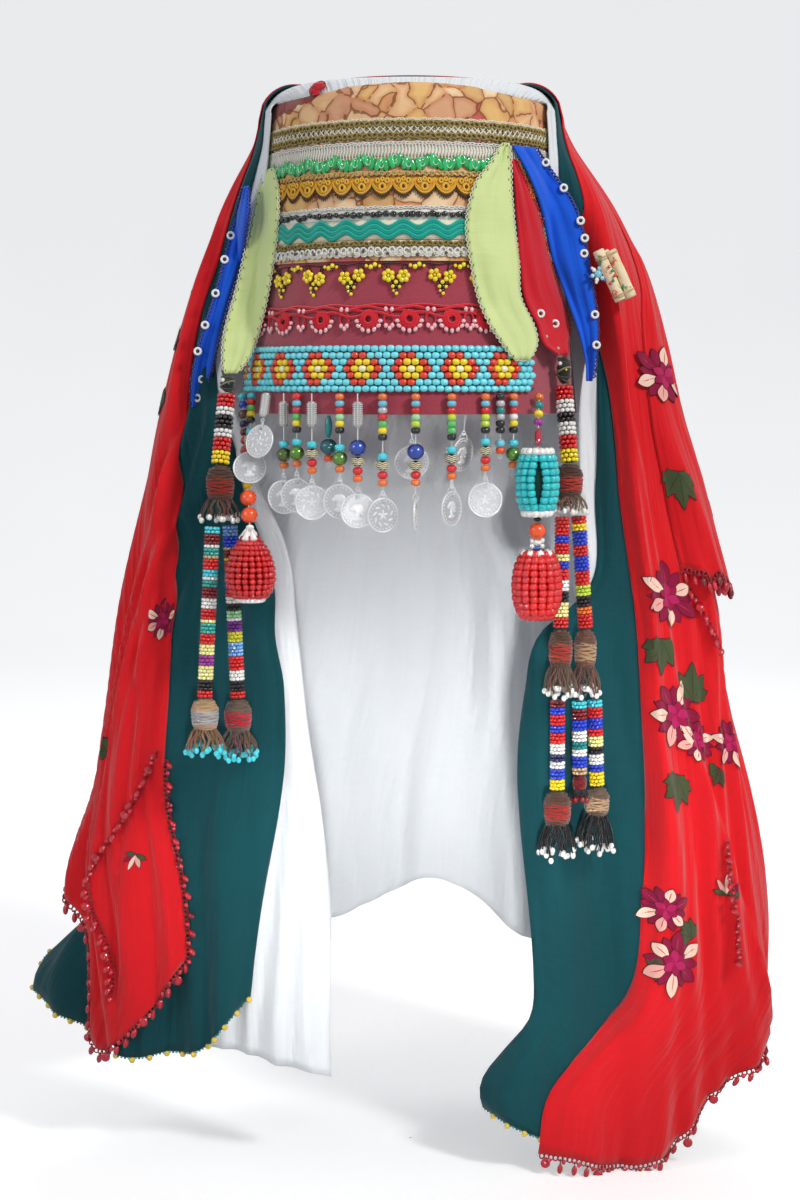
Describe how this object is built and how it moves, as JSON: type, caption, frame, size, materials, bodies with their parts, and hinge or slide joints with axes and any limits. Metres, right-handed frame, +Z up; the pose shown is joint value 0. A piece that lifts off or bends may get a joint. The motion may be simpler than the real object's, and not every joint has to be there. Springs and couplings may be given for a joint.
{
  "type": "coin headdress",
  "caption": "Tall felt cap trimmed with lace and a bead band, hung with coin drops, bead ropes and tassels, under three layered scarves that fall to the shoulders.",
  "frame": {"origin": "centre of the cap's rim opening, where the cap sits on the head", "axes": "+Z up along the cap, -Y towards the front where the coins hang, +X to the left of the wearer"},
  "size_m": [0.412, 0.2449, 0.5889],
  "materials": {
    "felt": "burgundy wool felt",
    "print_cotton": "printed cotton",
    "braid": "olive and gold braid",
    "crochet_lace": "crochet lace with beads",
    "needle_lace": "needle lace",
    "ricrac": "zigzag braid",
    "seed_beads": "opaque gloss beads",
    "white_cotton": "soft cotton muslin",
    "teal_crepe": "dark teal crepe",
    "red_muslin": "thin printed muslin",
    "green_cotton": "plain cotton",
    "blue_cotton": "plain cotton",
    "red_cotton": "plain cotton",
    "cream_cotton": "printed cotton roll",
    "tassel_thread": "wound and cut thread",
    "silver_coins": "silver-coloured coins and glass beads",
    "silver_wire": "bright wire",
    "thread": "bead thread"
  },
  "bodies": {
    "root": {"cap": "felt", "print_cover": "print_cotton", "olive_braid": "braid", "green_drop_trim": "crochet_lace", "yellow_lace": "needle_lace", "black_bead_edging": "crochet_lace", "teal_ricrac": "ricrac", "olive_white_lace": "crochet_lace", "yellow_flower_trim": "needle_lace", "red_flower_lace": "needle_lace", "bead_band": "seed_beads", "white_scarf": "white_cotton", "teal_scarf": "teal_crepe", "red_scarf": "red_muslin", "red_scarf_fold": "red_muslin", "green_tail_left": "green_cotton", "green_tail_right": "green_cotton", "blue_tail_left": "blue_cotton", "blue_tail_right": "blue_cotton", "red_tail": "red_cotton", "amulet_roll": "cream_cotton", "red_knot": "red_cotton", "rope_knots": "tassel_thread", "coin_drop_01": "silver_coins", "coin_drop_02": "silver_coins", "coin_drop_03": "silver_coins", "coin_drop_04": "silver_coins", "coin_drop_05": "silver_coins", "coin_drop_06": "silver_coins", "coin_drop_07": "silver_coins", "coin_drop_08": "silver_coins", "coin_drop_09": "silver_coins", "coin_drop_10": "silver_coins", "coin_drop_11": "silver_coins", "inner_drops": "silver_coins", "drop_wires": "silver_wire", "bulb_strings": "seed_beads", "bulb_threads": "thread", "red_bulb_left": "seed_beads", "turquoise_bulb": "seed_beads", "red_bulb_right": "seed_beads", "left_rope_1": "seed_beads", "left_rope_2": "seed_beads", "left_rope_3": "seed_beads", "right_rope_1": "seed_beads", "right_rope_2": "seed_beads", "right_rope_3": "seed_beads", "right_rope_4": "seed_beads", "right_rope_5": "seed_beads", "right_rope_6": "seed_beads", "left_tassel_1": "tassel_thread", "left_tassel_2": "tassel_thread", "left_tassel_3": "tassel_thread", "right_tassel_1": "tassel_thread", "right_tassel_2": "tassel_thread", "right_tassel_3": "tassel_thread", "right_tassel_4": "tassel_thread", "right_tassel_5": "tassel_thread", "right_tassel_6": "tassel_thread"}
  },
  "joints": []
}
